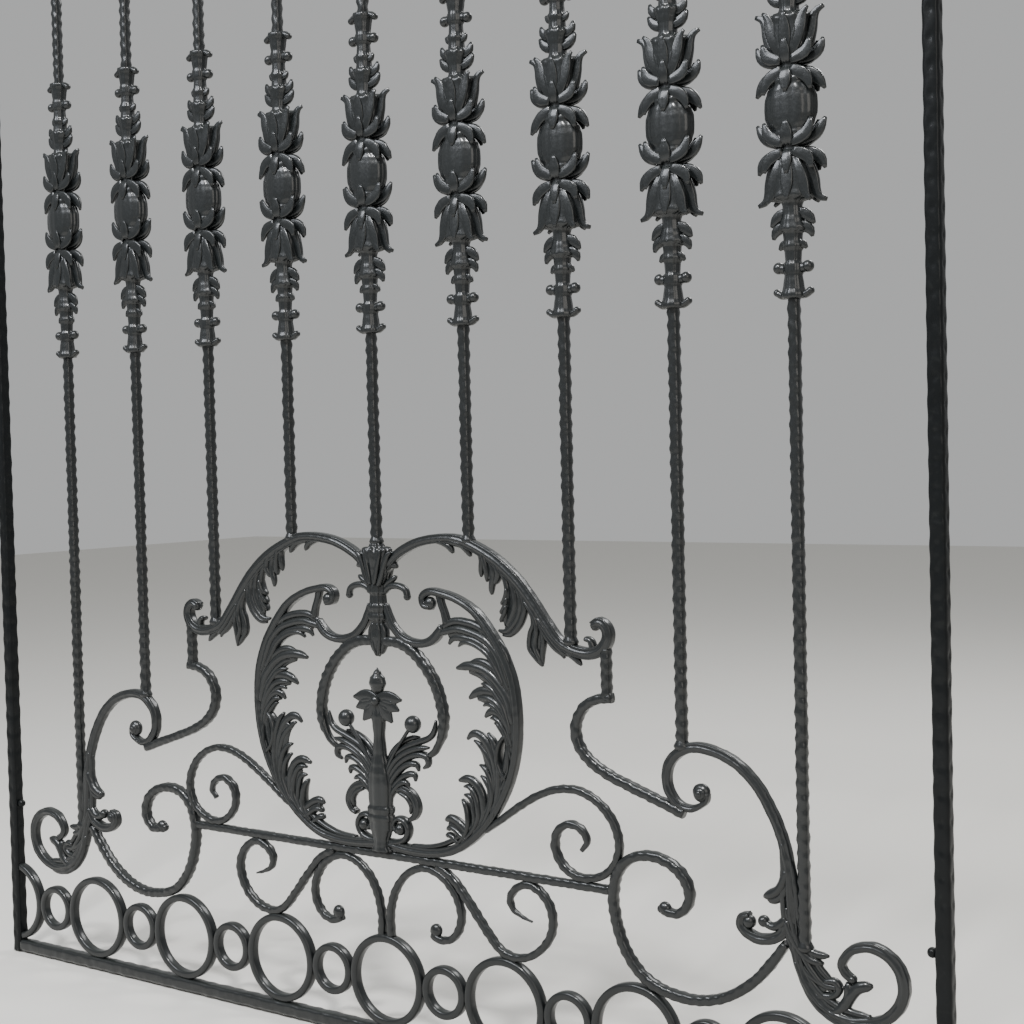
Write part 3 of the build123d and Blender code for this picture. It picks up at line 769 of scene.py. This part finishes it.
def oval_half(bm):
    """Right-hand half of the oval: the rim with its volute, the arm above, and the leaves inside."""
    rim = [
        77, 430, 68, 432, 66, 441, 75, 447, 90, 446, 113, 440, 137, 427, 157, 405, 173.5, 380, 184.5, 353,
        189, 322, 188, 288, 181, 256, 168, 227, 149, 200, 126, 178, 99, 162, 70, 155.5, 38, 155, 8, 158,
    ]
    stem(bm, rim, [7, 9, 9, 9, 10] + [11] * 14 + [12], 14, 2.2)
    ball(bm, (75, 434), 15, 13)
    web = [
        140, 411, 149, 400, 164, 375, 175, 350, 180, 322, 179, 290, 173, 260, 160, 232, 143, 207, 121, 187,
        96, 171, 69, 162, 42, 160,
    ]
    sweep(bm, web, [3, 6, 9, 10, 11, 11, 10, 10, 9, 8, 7, 6, 5], 9)
    stem(bm, [88, 445, 91, 434, 95, 424, 98, 412], [9, 8, 8, 10], 9)
    arm = [10, 430, 15, 418, 22, 406, 36, 394, 53, 389, 69, 390, 81, 396, 92, 408]
    stem(bm, arm, [9, 10, 10, 10, 10, 10, 11, 10], [9, 10, 10, 10, 10, 11, 12, 11])
    # leaf at the end of the arm, its short tips hanging from the lower edge
    frond(
        bm,
        [184, 345, 172, 374, 160, 389, 146, 398, 130, 403, 115, 405, 100, 403],
        [10, 18, 22, 24, 24, 22, 14],
        (10, 184, 350, 177, 379, 167, 393, 155, 403, 140, 411, 123, 415, 107, 415, 94, 409, 83, 399),
        (10, 182, 345, 169, 377, 159, 390, 147, 399, 132, 404, 115, 407, 102, 405, 90, 402, 79, 395),
        (10, 180, 344, 162, 377, 151, 387, 139, 394, 126, 397, 113, 398, 105, 396, 100, 390),
        (8, 174, 350, 161, 372, 153, 382, 142, 389, 130, 393, 120, 393, 113, 388),
    )
    # leaf below it, with one long tip
    frond(
        bm, [184, 312, 176, 336, 167, 348, 156, 358, 144, 364, 128, 366], [8, 16, 22, 24, 22, 15],
        (9.5, 186, 318, 181, 342, 171, 355, 163, 364, 151, 371, 140, 373, 128, 371),
        (12, 185, 308, 179, 334, 170, 347, 160, 357, 148, 364, 135, 367, 123, 367, 110, 364),
        (9, 184, 302, 176, 329, 168, 340, 158, 350, 148, 357, 140, 360, 132, 360),
        (8, 183, 298, 173, 325, 166, 335, 158, 344, 150, 348, 143, 349),
    )
    frond(
        bm, [183, 285, 178, 308, 170, 321, 162, 330, 152, 334, 139, 335], [7, 12, 16, 18, 16, 11],
        (11.5, 185, 290, 181, 312, 175, 326, 166, 337, 156, 341, 144, 341, 135, 338, 126, 332),
        (9, 184, 284, 179, 307, 173, 318, 165, 328, 156, 333, 147, 334, 138, 332),
        (7.5, 183, 278, 177, 304, 171, 315, 163, 323, 155, 327, 149, 327, 145, 325),
    )
    frond(
        bm, [182, 270, 178, 291, 172, 303, 166, 311, 158, 315], [6, 9, 12, 13, 9],
        (10, 184, 272, 181, 294, 177, 305, 170, 315, 161, 320, 154, 319, 147, 313),
        (7.5, 183, 270, 178, 292, 173, 302, 166, 310, 160, 313, 154, 312),
        (7, 182, 270, 176, 290, 171, 298, 166, 304, 162, 307, 159, 307),
    )
    # pod between the leaves, a hollow between two lips
    rib(bm, [176, 248, 169, 256, 165, 266, 165, 279, 170, 290, 179, 298], 7, 17)
    rib(bm, [174, 248, 179, 258, 180, 270, 180, 284, 178, 296], 4.5, 16)
    # tall leaf that rises from the lower right: a hooked tip, a blunt one, and two below on its left
    frond(
        bm, [146, 196, 157, 220, 160, 243, 157, 260, 152, 273, 143, 285], [14, 18, 22, 24, 23, 15],
        (11, 150, 196, 159, 215, 162, 244, 160, 259, 156, 273, 148, 286, 138, 293, 129, 293, 122, 287),
        (9, 154, 200, 163, 230, 165, 253, 164, 267, 161, 279, 157, 288, 150, 296),
        (8.5, 144, 190, 154, 212, 158, 243, 155, 259, 150, 270, 142, 279, 136, 284, 131, 286),
        (8, 140, 190, 152, 213, 156, 229, 154, 243, 149, 253, 144, 258, 138, 260),
        (8, 136, 186, 148, 206, 152, 222, 151, 235, 147, 242, 143, 246, 139, 248),
        (7, 154, 208, 165, 226, 168, 240, 168, 252),
    )
    frond(
        bm, [120, 178, 131, 192, 136, 206, 135, 220, 128, 232], [12, 18, 21, 20, 12],
        (11, 122, 176, 134, 190, 142, 204, 142, 218, 139, 230, 132, 239, 122, 243, 109, 240),
        (8, 118, 176, 129, 188, 136, 201, 136, 214, 133, 225, 128, 232, 122, 235, 116, 234),
        (8, 114, 174, 126, 186, 130, 198, 129, 210, 127, 219, 123, 224, 116, 225),
        (8, 110, 172, 119, 183, 122, 194, 121, 205, 118, 214, 113, 220),
    )
    frond(
        bm, [122, 180, 112, 184, 103, 189, 95, 191], [10, 14, 14, 8],
        (10, 128, 180, 120, 184, 113, 190, 105, 195, 97, 197, 89, 194),
        (8, 120, 176, 112, 180, 105, 185, 98, 187, 91, 184),
        (7.5, 108, 170, 102, 174, 96, 178, 89, 177),
    )


class GRILLE_OT_oval(bpy.types.Operator):
    """Casts the two halves of the big oval with their volutes and inner leaves"""

    bl_idname = "grille.oval"
    bl_label = "Leafy oval"

    def execute(self, context):
        pair("leafy_oval", "oval", oval_half)
        return {"FINISHED"}


def crest_half(bm):
    """Right-hand half of the crest: the stem with its curled end, and the leaves that hang from it."""
    arch = [
        8, 464, 18, 476, 33, 489, 60, 501, 90, 506, 117, 505, 142, 496, 168, 482, 192, 463, 213, 440,
        231, 417, 247, 399, 266, 391, 284, 389, 298, 394, 306, 405, 305, 416, 297, 422, 289, 418,
    ]
    stem(bm, arch, [9, 10, 11, 11, 11, 11, 12, 13, 14, 14, 14, 13, 12, 12, 12, 13, 13, 12, 11], 14, 2.2)
    ball(bm, (291, 418), 11, 13)
    sweep(bm, [288, 390, 287, 398, 284, 403, 279, 404], [11, 9, 8, 6], 11, step=1.5)
    # short tips under the arch
    rib(bm, [74, 504, 86, 504, 97, 501, 104, 497, 109, 490], 8.5)
    rib(bm, [98, 504, 110, 502, 121, 499, 128, 494, 133, 487], 8.5)
    # broad leaf with two short tips and a long blunt one
    frond(
        bm, [140, 497, 151, 490, 158, 481, 160, 472, 158, 463], [6, 12, 20, 21, 14],
        (8, 130, 499, 140, 495, 146, 490, 148, 483, 147, 474, 146, 465),
        (8, 136, 497, 148, 493, 152, 487, 154, 478, 155, 469, 154, 460),
        (9, 144, 494, 155, 489, 160, 481, 163, 472, 162, 462, 160, 454, 160, 446),
        (8.5, 152, 490, 162, 486, 168, 478, 170, 470, 168, 463, 163, 457),
    )
    # long leaf that hangs like a feather, hooked to the left at its end
    frond(
        bm, [176, 476, 188, 460, 193, 446, 192, 433, 188, 421, 181, 412], [10, 20, 25, 25, 23, 14],
        (8, 162, 483, 171, 474, 178, 465, 181, 454, 181, 443, 179, 435, 178, 425, 177, 413),
        (6.5, 182, 454, 180, 446, 177, 440, 172, 436),
        (8.5, 166, 482, 175, 473, 186, 462, 190, 450, 191, 439, 188, 429, 183, 419, 177, 410),
        (6.5, 182, 444, 179, 436, 175, 430, 171, 426),
        (8.5, 172, 478, 182, 470, 194, 455, 198, 444, 197, 431, 192, 420, 184, 411, 176, 407, 168, 408),
        (6.5, 181, 436, 178, 427, 174, 421, 171, 417),
        (8.5, 180, 472, 191, 460, 201, 446, 203, 433, 199, 421, 193, 412, 184, 405, 173, 403),
    )
    # pointed leaf with a shoulder on its left
    frond(
        bm, [208, 437, 217, 421, 218, 408, 216, 397, 217, 386], [8, 12, 17, 19, 9],
        (7, 200, 446, 207, 436, 213, 426, 214, 416, 210, 407, 208, 396, 209, 389, 215, 382, 222, 373),
        (7.5, 204, 441, 211, 432, 218, 420, 219, 410, 217, 400, 217, 391, 221, 382, 224, 372),
        (7, 208, 438, 215, 428, 223, 415, 226, 406, 226, 397, 225, 391, 224, 383, 225, 375),
    )
    # leaves that lie along the stem towards the curl
    fan(
        bm,
        (8, 212, 432, 221, 420, 228, 408, 235, 399, 242, 392, 249, 387, 252, 382),
        (8, 220, 424, 230, 412, 239, 401, 247, 393, 253, 388, 258, 385),
        (8, 238, 408, 247, 400, 255, 391, 261, 386, 267, 382, 273, 376),
        (7, 248, 402, 256, 397, 264, 391, 271, 387, 277, 384),
    )


class GRILLE_OT_crest(bpy.types.Operator):
    """Casts the two halves of the crest with their hanging leaves and curled ends"""

    bl_idname = "grille.crest"
    bl_label = "Crest"

    def execute(self, context):
        pair("leafy_crest", "crest", crest_half)
        return {"FINISHED"}


def outer_scroll(bm):
    """Right-hand outer scroll: the bar from its coil to its curl, a volute, and the sheath round them."""
    widths = [5, 7, 9, 10] + [11] * 19 + [12, 12, 12, 11, 10, 9, 8]
    stem(bm, OUTER_SCROLL, widths, [9, 11] + [12] * 26 + [11, 9], 2.2)
    ball(bm, (568, 97), 9, 10)
    for size, depth, level in ((20, 13, 0), (13.5, 8, -4), (7, 6, -6.5), (13.5, 8, 4)):
        ball(bm, (411, 257), size, depth, level)
    volute = [503, 141, 497, 130, 486, 123, 473, 121, 461, 124, 453, 131, 454, 140, 462, 143]
    stem(bm, volute, [12, 11, 11, 11, 11, 10, 9, 7], 12, 2.0)
    ball(bm, (461, 136), 14, 14)
    sweep(bm, [502, 144, 493, 137, 485, 135, 478, 138], [12, 10, 9, 8], 11, step=1.6)
    ball(bm, (477, 139), 12, 13)
    # sheath that wraps the bar where it turns down, with a short tip on its left
    frond(
        bm, [500, 206, 505, 180, 507, 152, 512, 124, 524, 100, 542, 82], [10, 17, 18, 19, 18, 14],
        (8, 500, 218, 508, 194, 512, 168, 516, 142, 525, 118, 539, 98, 556, 84),
        (8, 499, 218, 504, 192, 505, 168, 508, 142, 517, 116, 531, 95, 550, 79),
        (8, 498, 214, 499, 192, 498, 168, 500, 142, 508, 116, 522, 92, 542, 74),
        (11, 503, 192, 499, 180, 493, 171, 485, 166, 477, 163),
        (10, 503, 178, 498, 168, 490, 162, 481, 161),
    )
    # tips that fall away to the right of the sheath
    fan(
        bm,
        (9, 502, 156, 505, 141, 512, 128, 521, 119, 532, 115, 545, 115),
        (10, 502, 144, 507, 130, 515, 118, 524, 110, 534, 107, 539, 107),
        (8, 505, 124, 513, 108, 524, 95, 537, 88, 549, 86, 560, 88),
    )
    # broad foot of the sheath round the bottom of the coil
    frond(
        bm, [512, 108, 526, 84, 544, 66, 566, 60, 586, 63], [10, 14, 15, 14, 8],
        (8, 512, 116, 521, 96, 535, 79, 553, 69, 572, 65, 586, 65),
        (8, 511, 106, 519, 88, 532, 71, 550, 61, 570, 59, 592, 64),
        (7.5, 514, 94, 522, 78, 535, 63, 552, 54, 570, 51, 590, 55),
    )
    # forked leaf that rises inside the coil, and the small curl beside it
    rib(bm, [548, 62, 559, 70, 566, 81, 574, 90, 588, 94], 12, 12)
    rib(bm, [553, 62, 561, 74, 564, 85, 563, 94], 10)
    sweep(bm, [526, 74, 539, 76, 550, 79, 555, 86, 550, 92, 540, 91], [10, 9, 8, 8, 8, 6], 10)


class GRILLE_OT_outer_scrolls(bpy.types.Operator):
    """Forges the outer scrolls and clothes them in their acanthus sheaths"""

    bl_idname = "grille.outer_scrolls"
    bl_label = "Outer scrolls"

    def execute(self, context):
        pair("outer_scroll_bar", "outer_scroll", outer_scroll, "cast", "hammered_iron", 57.0)
        return {"FINISHED"}


# Cores of the centre castings, in the same way
CUP = [
    (371, 1, 1), (376, 5, 5), (384, 9, 8), (394, 10.5, 9), (404, 9.5, 8.5), (412, 9.5, 8.5), (414, 13.5, 11),
    (419, 13.5, 11), (420.5, 11.5, 10), (423.5, 11.5, 10), (425, 13.5, 11), (430, 13.5, 11),
    (432, 10.5, 9.5), (442, 10, 9), (444, 13.5, 11), (452, 13.5, 11), (454, 11, 10), (462, 12.5, 10.5),
    (472, 15, 11.5), (483, 18, 12.8, 2), (491, 20, 13, 5), (493, 17, 11.5, 5), (496, 10, 9), (500, 8, 8),
]
VASE = [
    (150, 15, 9), (156, 11.5, 8.5), (163, 11, 8), (171, 14, 9), (176, 17.5, 10), (184, 17.5, 10),
    (186, 19.5, 11), (190, 19.5, 11), (191.5, 17.5, 10), (194, 17.5, 10), (195.5, 19.5, 11),
    (199.5, 19.5, 11), (202, 16.5, 10), (212, 17.5, 10), (226, 17.5, 10), (238, 15.5, 9.5), (248, 12.5, 8.5),
    (262, 9, 7), (282, 7, 6.5), (294, 8.5, 7), (304, 9.5, 7), (312, 7, 6), (318, 5, 5),
]
BUD = [(329, 4, 4), (334, 8.5, 7), (341, 11.5, 8.5), (347, 10, 8), (353, 5, 5), (359, 0.8, 0.8)]
# Their leaf fingers on the right: width, depth, level off the axis, and run
CUP_FINGERS = [
    *((7, 8, level, 7, 452, 12, 464, 16, 476, 21, 487, 26, 490) for level in (-7, 0, 7)),
    (6, 7, -9, 3, 454, 6, 468, 9, 481, 12, 494),
    (8, 10, 0, 10, 466, 17, 473, 23, 476, 30, 473),
    (7, 9, 0, 8, 448, 15, 455, 22, 459, 28, 463),
    (7, 12, 0, 6, 410, 10, 400, 9, 388, 4, 374),
    (5, 8, -4, 3, 410, 5, 398, 4, 386, 1, 372),
]
VASE_FINGERS = [
    # leaves that spread from the mouth of the vase, their tips rolled under
    (8, 11, 0, 4, 222, 8, 240, 17, 257, 33, 269, 52, 277, 68, 283, 76, 291, 79, 304),
    (7.5, 12, -2, 5, 220, 11, 238, 22, 254, 38, 265, 55, 271, 70, 273),
    (9, 13, 0, 6, 218, 13, 235, 25, 250, 40, 260, 54, 264, 65, 262, 67, 254, 60, 249),
    (7, 9, 2, 4, 224, 7, 246, 14, 262, 27, 274, 42, 281, 54, 283),
    (8, 12, -1, 8, 214, 15, 230, 27, 244, 40, 252, 51, 252, 54, 245),
    (8, 11, 0, 9, 210, 16, 223, 27, 234, 38, 240, 47, 240, 48, 233),
    (7, 10, -2, 9, 206, 16, 217, 25, 227, 34, 231, 41, 228),
    # inner edge of the hook below them
    (6, 9, -2, 26, 219, 37, 214, 43, 205, 41, 196),
]
# Middle lines of the pointed petals on the right
PETALS = [
    [0, 324, 12, 326, 24, 325, 35, 324],
    [0, 322, 11, 319, 21, 316, 31, 312],
    [2, 321, 8, 313, 14, 306, 21, 298],
    [0, 320, 2, 312, 4, 304, 6, 296],
]


class GRILLE_OT_centre(bpy.types.Operator):
    """Casts the leafy cup with its collars, and the flower on its vase"""

    bl_idname = "grille.centre"
    bl_label = "Centre castings"

    def execute(self, context):
        bm = bmesh.new()
        lathed(bm, CUP, 48, 12, 0.16, 1.4)
        for aside in (1, -1):
            for width, depth, level, *run in CUP_FINGERS:
                rib(bm, mirrored(run, aside), width, depth, level)
            handle = mirrored([8, 444, 18, 451, 30, 452, 40, 448, 43, 440], aside)
            sweep(bm, handle, [8, 8, 8, 8, 7], 9)
            ball(bm, (aside * 42.5, 440), 8.5, 9)
        piece("leafy_cup", bm, "cast", "cast_leaves", "centre_casting")

        bm = bmesh.new()
        lathed(bm, VASE, 48, 8, 0.1, 1.5, -4)
        lathed(bm, BUD, 32, 4, 0.1, 1.0, -5)
        ball(bm, (0, 322), 12, 12, -9)
        for aside in (1, -1):
            for run in PETALS:
                sweep(bm, mirrored(run, aside), [9, 15, 14, 3], [9, 8, 7, 4], veined, step=1.5, level=-6)
            ball(bm, (aside * 49, 298), 20, 18, -4)
            stalk = mirrored([7, 236, 15, 252, 26, 269, 44, 292], aside)
            sweep(bm, stalk, [5, 4.5, 4, 4], 5, level=-5)
            for width, depth, level, *run in VASE_FINGERS:
                rib(bm, mirrored(run, aside), width, depth, level)
            hook = [11, 219, 22, 222, 35, 221, 45, 214, 50, 203, 46, 193, 39, 189]
            stem(bm, mirrored(hook, aside), [8, 10, 11, 11, 10, 8, 5], 11, 2.0)
            snail = [9, 160, 20, 161, 32, 166, 37, 177, 31, 187, 21, 188, 16, 180, 22, 173]
            sweep(bm, mirrored(snail, aside), [9, 8, 8, 8, 8, 7, 7, 6], 13)
            ball(bm, (aside * 26.5, 177), 14, 15, -2)
        piece("flower_on_vase", bm, "cast", "cast_leaves", "centre_flower")
        return {"FINISHED"}


# Stage, in metres: half the side of the floor, its gap below the grille, and the height of the point
# above the ring row that the lights look at
FLOOR_REACH = 9
FLOOR_GAP = 0.002
AIM = 0.45
SKY_STRENGTH = 0.56
# Width of the camera's sensor in millimetres
SENSOR = 36
# name, place from the point looked at, watts, size, colour
LIGHTS = (
    ("window_light", (-1.2, -2.4, 2.4), 98, 1.4, "#f4f8ff"),
    ("fill_light", (2.6, -1.8, 1.2), 22, 1.6, "#fff8ef"),
    ("glint_light", (0.5, -2.2, 2.9), 130, 0.4, "#ffffff"),
    ("rim_light", (0.6, 2.2, 2.4), 50, 1.2, "#ffffff"),
)


class GRILLE_OT_stage(bpy.types.Operator):
    """Lays the floor, hangs the lights and sets the camera where the photograph was taken"""

    bl_idname = "grille.stage"
    bl_label = "Stage"

    def execute(self, context):
        scene = context.scene
        settings = scene.grille_stage
        bm = bmesh.new()
        bmesh.ops.create_grid(bm, x_segments=1, y_segments=1, size=FLOOR_REACH)
        mesh = bpy.data.meshes.new("floor")
        bm.to_mesh(mesh)
        bm.free()
        mesh.transform(Matrix.Translation((AXIS_X, 0, cad_low.z - FLOOR_GAP)))
        floor = bpy.data.objects.new("floor", mesh)
        scene.collection.objects.link(floor)
        # matt plaster, pale so that the black iron stands out
        plaster = bpy.data.materials.new("pale_plaster")
        plaster.use_nodes = True
        shader = plaster.node_tree.nodes["Principled BSDF"]
        shader.inputs["Base Color"].default_value = linear(settings.floor_colour)
        shader.inputs["Roughness"].default_value = 0.9
        mesh.materials.append(plaster)

        world = bpy.data.worlds.new("pale_room")
        scene.world = world
        world.use_nodes = True
        sky = world.node_tree.nodes["Background"]
        sky.inputs["Color"].default_value = linear("#e9eaea")
        sky.inputs["Strength"].default_value = SKY_STRENGTH

        camera = bpy.data.objects.new("camera", bpy.data.cameras.new("camera"))
        scene.collection.objects.link(camera)
        scene.camera = camera
        place = Matrix.Translation(Vector((AXIS_X, 0, RING_Z)) + Vector(settings.camera_place))
        turn = Matrix.Rotation(settings.camera_heading, 4, "Z")
        tilt = Matrix.Rotation(math.pi / 2 + settings.camera_tilt, 4, "X")
        roll = Matrix.Rotation(settings.camera_roll, 4, "Z")
        camera.matrix_world = place @ turn @ tilt @ roll
        camera.data.sensor_width = SENSOR
        camera.data.lens = settings.lens
        camera.data.clip_start = 0.05
        camera.data.clip_end = 60

        centre = Vector((AXIS_X, 0, RING_Z + AIM))
        for name, spot, power, size, tint in LIGHTS:
            data = bpy.data.lights.new(name, "AREA")
            data.energy = power
            data.size = size
            data.color = linear(tint)[:3]
            light = bpy.data.objects.new(name, data)
            scene.collection.objects.link(light)
            light.location = centre + Vector(spot)
            light.rotation_euler = (centre - light.location).to_track_quat("-Z", "Y").to_euler()
        return {"FINISHED"}


class GRILLE_PT_panel(bpy.types.Panel):
    """Lists the steps and settings of the grille"""

    bl_label = "Window grille"
    bl_idname = "GRILLE_PT_panel"
    bl_space_type = "VIEW_3D"
    bl_region_type = "UI"
    bl_category = "Grille"

    def draw(self, context):
        for group in SETTINGS:
            settings = getattr(context.scene, group)
            for name in type(settings).__annotations__:
                self.layout.prop(settings, name)
        for step in STEPS:
            self.layout.operator(step.bl_idname)


STEPS = (
    GRILLE_OT_posts, GRILLE_OT_bars, GRILLE_OT_rings, GRILLE_OT_scrolls, GRILLE_OT_ornaments,
    GRILLE_OT_oval, GRILLE_OT_crest, GRILLE_OT_outer_scrolls, GRILLE_OT_centre, GRILLE_OT_stage,
)
SETTINGS = {"grille_forging": GrilleForging, "grille_paint": GrillePaint, "grille_stage": GrilleStage}
CLASSES = (*SETTINGS.values(), *STEPS, GRILLE_PT_panel)


def register():
    for part in CLASSES:
        bpy.utils.register_class(part)
    for name, group in SETTINGS.items():
        setattr(bpy.types.Scene, name, bpy.props.PointerProperty(type=group))


def unregister():
    for name in SETTINGS:
        delattr(bpy.types.Scene, name)
    for part in reversed(CLASSES):
        bpy.utils.unregister_class(part)


def main():
    register()
    bpy.ops.grille.posts()
    bpy.ops.grille.bars()
    bpy.ops.grille.rings()
    bpy.ops.grille.scrolls()
    bpy.ops.grille.ornaments()
    bpy.ops.grille.oval()
    bpy.ops.grille.crest()
    bpy.ops.grille.outer_scrolls()
    bpy.ops.grille.centre()
    bpy.ops.grille.stage()


if __name__ == "__main__":
    main()
